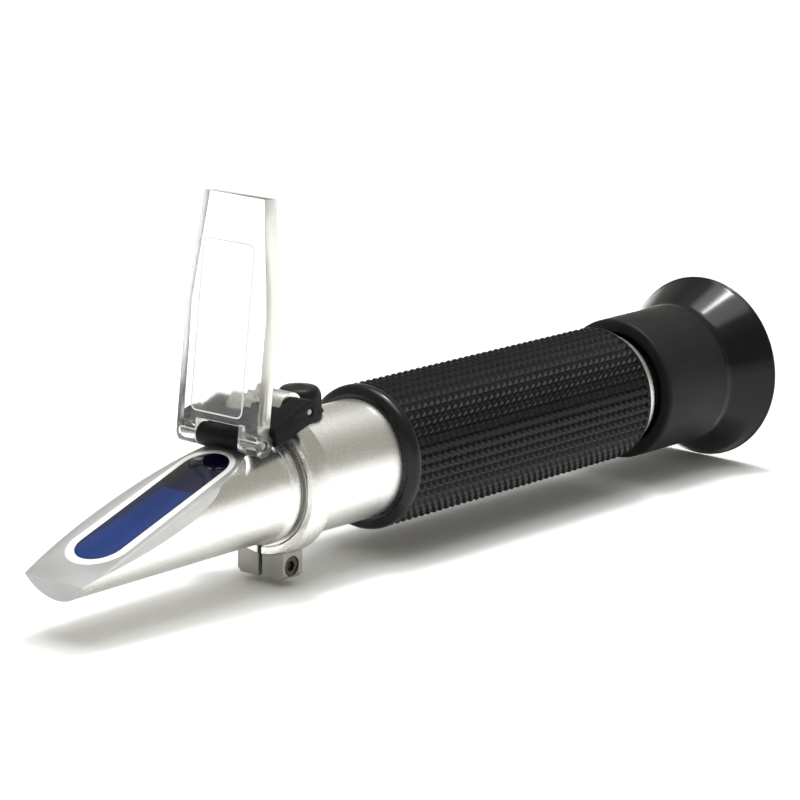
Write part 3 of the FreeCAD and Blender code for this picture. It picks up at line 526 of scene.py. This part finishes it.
def tube():
    outline = [(-29.6, TUBE_BORE), (-29.6, 11.15, 0.05), (-28.7, 11.15, 0.05), (-28.7, TUBE_ROUND, 0.05),
               (79.2, TUBE_ROUND, 0.05), (79.2, 12.8, 0.3), (82.4, 12.8, 0.5), (82.4, TUBE_BORE)]
    lathe("tube_shell", outline, ALUMINIUM, "body", ("main_tube",))


def painted_groove_shade():
    """Grey ring at the bottom of the groove between the nose flange and the clamp ring: painted shade that
    stands in for the groove's aluminium in shadow.
    """
    outline = [(-29.75, 11.0), (-29.75, 11.3, 0.1), (-28.85, 11.3, 0.1), (-28.85, 11.0)]
    lathe("painted_groove_shade", outline, GROOVE_SHADE, "body", radius=0.05)


def knurl_radius(x):
    return KNURL_FRONT + (KNURL_REAR - KNURL_FRONT) * (x / GRIP_END)


def on_grip(x, angle, radius):
    return place(x, -radius * math.cos(angle), radius * math.sin(angle))


def grip_knurl():
    """Rubber sleeve with a square field of small, slightly blunt pyramids."""
    pitch, around, depth, flat = 1.96, 46, 0.8, 0.09
    start, stop = 3.1, 78.6
    rows = round((stop - start) / pitch)
    step = (stop - start) / rows
    turn = 2 * math.pi / around
    work = bmesh.new()
    stations = [start + step * i for i in range(rows + 1)]
    base = [[work.verts.new(on_grip(x, turn * j, knurl_radius(x) - depth)) for j in range(around)]
            for x in stations]
    for i in range(rows):
        middle = start + step * (i + 0.5)
        for j in range(around):
            centre = turn * (j + 0.5)
            corners = (base[i][j], base[i + 1][j], base[i + 1][(j + 1) % around], base[i][(j + 1) % around])
            signs = ((-1, -1), (1, -1), (1, 1), (-1, 1))
            tip = [work.verts.new(on_grip(middle + a * flat * step, centre + b * flat * turn,
                                          knurl_radius(middle))) for a, b in signs]
            bridge(work, corners, tip)
            work.faces.new(tip)
    bore = [[work.verts.new(on_grip(x, turn * j, GRIP_BORE)) for j in range(around)] for x in (start, stop)]
    for first, second in ((base[0], bore[0]), (bore[0], bore[1]), (bore[1], base[-1])):
        bridge(work, first, second)
    new_piece("grip_knurl", finished_mesh("grip_knurl", work), GRIP_RUBBER, "body",
              ("grip_sleeve",))


def grip_lips():
    front = [(0, GRIP_BORE), (0, 13.2, 0.7), (1.0, 14.75, 0.9), (2.5, 14.9, 0.5), (3.3, 14.3), (3.3, GRIP_BORE)]
    rear = [(78.4, GRIP_BORE), (78.4, 13.8), (78.7, 14.35, 0.2), (GRIP_END, 14.2, 0.2), (GRIP_END, GRIP_BORE)]
    for name, outline in (("grip_front_lip", front), ("grip_rear_lip", rear)):
        lathe(name, outline, GRIP_RUBBER, "body", radius=0.1)


def clamp_ring():
    """The ring, with its lugs in a duller finish."""
    piece = refined("clamp_ring", "clamp_ring_body", (RING_METAL, LUG_METAL), "body", 0.22)
    for polygon in piece.data.polygons:
        if (piece.matrix_world @ polygon.center).z < LUG_TOP:
            polygon.material_index = 1


tube()
painted_groove_shade()
grip_knurl()
grip_lips()
clamp_ring()
refined("clamp_screw", "clamp_screw_head", DARK_STEEL, "body", 0.08, 2)
refined("calibration_boss", "cap_saddle", CAP_RUBBER, "body", 0.2)
refined("hinge_arm", "arm_moulding", ARM_PLASTIC, "arm", 0.3)
refined("daylight_plate", "plate_moulding", ACRYLIC, "plate", 0.25)


# ---------------------------------------------------------------- daylight plate's frosted area

PLATE_HINGE = place(-39.0, 0, 11.3)
PLATE_LEAN = math.radians(6.2)
PLATE_UP = Vector((math.sin(PLATE_LEAN), 0, math.cos(PLATE_LEAN)))
PLATE_FRONT = Vector((-math.cos(PLATE_LEAN), 0, math.sin(PLATE_LEAN)))
PAD_BACK, PAD_FACE = 2.352, 2.4  # heights over the hinge's centre plane


def pad_ring(work, outline, proud):
    return [work.verts.new(PLATE_HINGE + (Vector((0, c, 0)) + PLATE_UP * h + PLATE_FRONT * proud) * MM)
            for c, h in outline]


def frosted_pad():
    """Finely ground face of the daylight plate, inset from its edges, and the line round it."""
    inside = rounded([(-6.0, 4.8), (6.9, 4.8), (6.9, 38.0), (-6.0, 38.0)], 1.4, 6)
    outside = rounded([(-6.3, 4.5), (7.2, 4.5), (7.2, 38.3), (-6.3, 38.3)], 1.7, 6)
    work = bmesh.new()
    back, face = pad_ring(work, inside, PAD_BACK), pad_ring(work, inside, PAD_FACE)
    bridge(work, back, face)
    work.faces.new(back)
    work.faces.new(face)
    mesh = finished_mesh("frosted_pad", work)
    finish_shading(new_piece("frosted_pad", mesh, FROSTED, "plate"))
    work = bmesh.new()
    loops = [pad_ring(work, outline, proud) for outline, proud in
             ((inside, PAD_BACK), (inside, PAD_FACE), (outside, PAD_FACE), (outside, PAD_BACK))]
    for first, second in zip(loops, loops[1:] + loops[:1]):
        bridge(work, first, second)
    mesh = finished_mesh("pad_rim", work)
    finish_shading(new_piece("pad_rim", mesh, PAD_RIM, "plate"))


frosted_pad()


# ---------------------------------------------------------------- cap, focusing ring and eyecup

RING_FACE, RING_ROUND, RING_END = 84.7, 15.2, 105.0


def rubber_cap():
    skirt, wall, crown = 12.75, 3.4, 18.3
    centre = Vector(((CAP_LOW.x + CAP_HIGH.x) / 2, 0, AXIS_Z))
    outline = [(skirt, wall, 0.1), (skirt, 4.83, 0.08), (12.95, 4.83, 0.1), (13.5, 4.45, 0.5),
               (16.4, 4.35, 1.2), (17.7, 3.7, 1.2), (crown, 0.001, 0), (16.2, 0.001, 0), (16.2, wall, 0.1)]
    lathe("rubber_cap", outline, CAP_RUBBER, "cap", ("calibration_cap",),
          centre=centre, along=Vector((0, 0, 1)), out=Vector((1, 0, 0)))


def eyepiece():
    ring = [(RING_FACE, 12.55, 0.1), (RING_FACE, 14.8, 0.3), (85.2, RING_ROUND, 0.3),
            (RING_END, RING_ROUND, 0.02), (RING_END, 13.6, 0.05), (109, 13.6, 0.1), (109, 9.6, 0.3),
            (104.3, 9.6, 0.1), (104.3, 12.55, 0.1)]
    lathe("focusing_ring", ring, RING_PLASTIC, "focus", ("focus_ring",))
    cup = [(RING_END, 13.65, 0.02), (RING_END, RING_ROUND, 0.01), (106.6, 15.3, 0.8), (115.6, 19.6, 0.5),
           (116.1, 20.0, 0.3), (116.8, 19.8, 0.4), (116.8, 18.6, 0.5), (115.8, 17.6, 0.8), (109.05, 12.7, 0.4),
           (109.05, 13.65, 0.05)]
    lathe("eyecup_rubber", cup, CUP_RUBBER, "focus", ("eyecup",))


rubber_cap()
eyepiece()


# ---------------------------------------------------------------- CAD nodes that stay

FINISH_NODES = (
    (PIN_STEEL, ("pivot_pin", "plate_hinge_pin")),
    (STEEL, ("key_screw",)),
    (BRASS, ("calibration_screw",)),
    (CAP_RUBBER, ("housing_o_ring",)),
    (ANODISED, ("light_baffle", "reticle_holder", "reticle_retaining_ring", "focus_sleeve", "objective_cell",
                "objective_retaining_ring", "eyepiece_barrel", "lens_spacer", "eyepiece_retaining_ring",
                "barrel_trap_ring")),
    (LENS, ("reticle_disc", "objective_crown_lens", "objective_flint_lens", "field_lens", "eye_lens")),
)
for finish, names in FINISH_NODES:
    for name in names:
        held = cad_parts[name]
        held.data.materials.clear()
        held.data.materials.append(finish)


# ---------------------------------------------------------------- floor, light and camera

def pale_floor():
    half = 6.0
    corners = [(-half, -half, 0), (half, -half, 0), (half, half, 0), (-half, half, 0)]
    mesh = bpy.data.meshes.new("floor")
    mesh.from_pydata(corners, [], [(0, 1, 2, 3)])
    floor = bpy.data.objects.new("floor", mesh)
    bpy.context.scene.collection.objects.link(floor)
    floor.location.z = -0.0002
    material, nodes, links, bsdf = new_material("pale_floor")
    noise = object_noise(nodes, links, 3.0)
    links.new(tint(nodes, links, noise, (0.93, 0.93, 0.93), (0.95, 0.95, 0.95)), bsdf.inputs["Base Color"])
    bsdf.inputs["Roughness"].default_value = 0.9
    bsdf.inputs["Specular IOR Level"].default_value = 0.1
    floor.data.materials.append(material)


def studio_sky():
    """Dim walls between a pale horizon and a bright ceiling, by height."""
    heights = ((0.08, (0.24, 0.24, 0.235)), (0.19, (0.092, 0.09, 0.079)), (0.66, (0.082, 0.08, 0.070)),
               (0.78, (0.13, 0.129, 0.12)), (0.88, (0.18, 0.18, 0.175)), (0.93, (1.0, 1.0, 1.0)))
    world = bpy.data.worlds.new("studio")
    bpy.context.scene.world = world
    world.use_nodes = True
    nodes, links = world.node_tree.nodes, world.node_tree.links
    background = nodes["Background"]
    coordinate = nodes.new("ShaderNodeTexCoord")
    split = nodes.new("ShaderNodeSeparateXYZ")
    links.new(coordinate.outputs["Generated"], split.inputs["Vector"])
    ramp = nodes.new("ShaderNodeValToRGB")
    stops = ramp.color_ramp.elements
    stops[0].position, stops[0].color = 0.0, (0.25, 0.25, 0.25, 1)
    stops[1].position, stops[1].color = 1.0, (1.0, 1.0, 1.0, 1)
    for height, colour in heights:
        stops.new(height).color = (*colour, 1)
    links.new(split.outputs["Z"], ramp.inputs["Fac"])
    links.new(ramp.outputs["Color"], background.inputs["Color"])
    background.inputs["Strength"].default_value = 4.1


def area_light(name, location, target, width, height, watts):
    lamp = bpy.data.lights.new(name, "AREA")
    lamp.shape = "RECTANGLE"
    lamp.size = width
    lamp.size_y = height
    lamp.energy = watts
    holder = bpy.data.objects.new(name, lamp)
    bpy.context.scene.collection.objects.link(holder)
    holder.location = location
    holder.rotation_euler = (Vector(target) - Vector(location)).to_track_quat("-Z", "Y").to_euler()


def camera():
    """Seen from the nose's near side, a little above."""
    position = place(-588.88, -512.07, 195.85)
    yaw, pitch, roll = math.radians(49.617), math.radians(-13.249), math.radians(0.723)
    ahead = Vector((math.sin(yaw) * math.cos(pitch), math.cos(yaw) * math.cos(pitch), math.sin(pitch)))
    right = Vector((math.cos(yaw), -math.sin(yaw), 0))
    up = right.cross(ahead)
    turned_right = right * math.cos(roll) + up * math.sin(roll)
    turned_up = up * math.cos(roll) - right * math.sin(roll)
    data = bpy.data.cameras.new("camera")
    data.sensor_width = 36.0
    data.lens = 180.53
    data.clip_start = 0.01
    data.clip_end = 50.0
    holder = bpy.data.objects.new("camera", data)
    bpy.context.scene.collection.objects.link(holder)
    basis = Matrix((turned_right, turned_up, -ahead)).transposed()
    holder.matrix_world = Matrix.Translation(position) @ basis.to_4x4()
    bpy.context.scene.camera = holder


pale_floor()
studio_sky()
area_light("overhead", (0.18, 0.05, 0.9), (0.1, 0.0, 0), 0.16, 0.14, 3.4)
camera()
bpy.context.scene.view_settings.view_transform = "Standard"
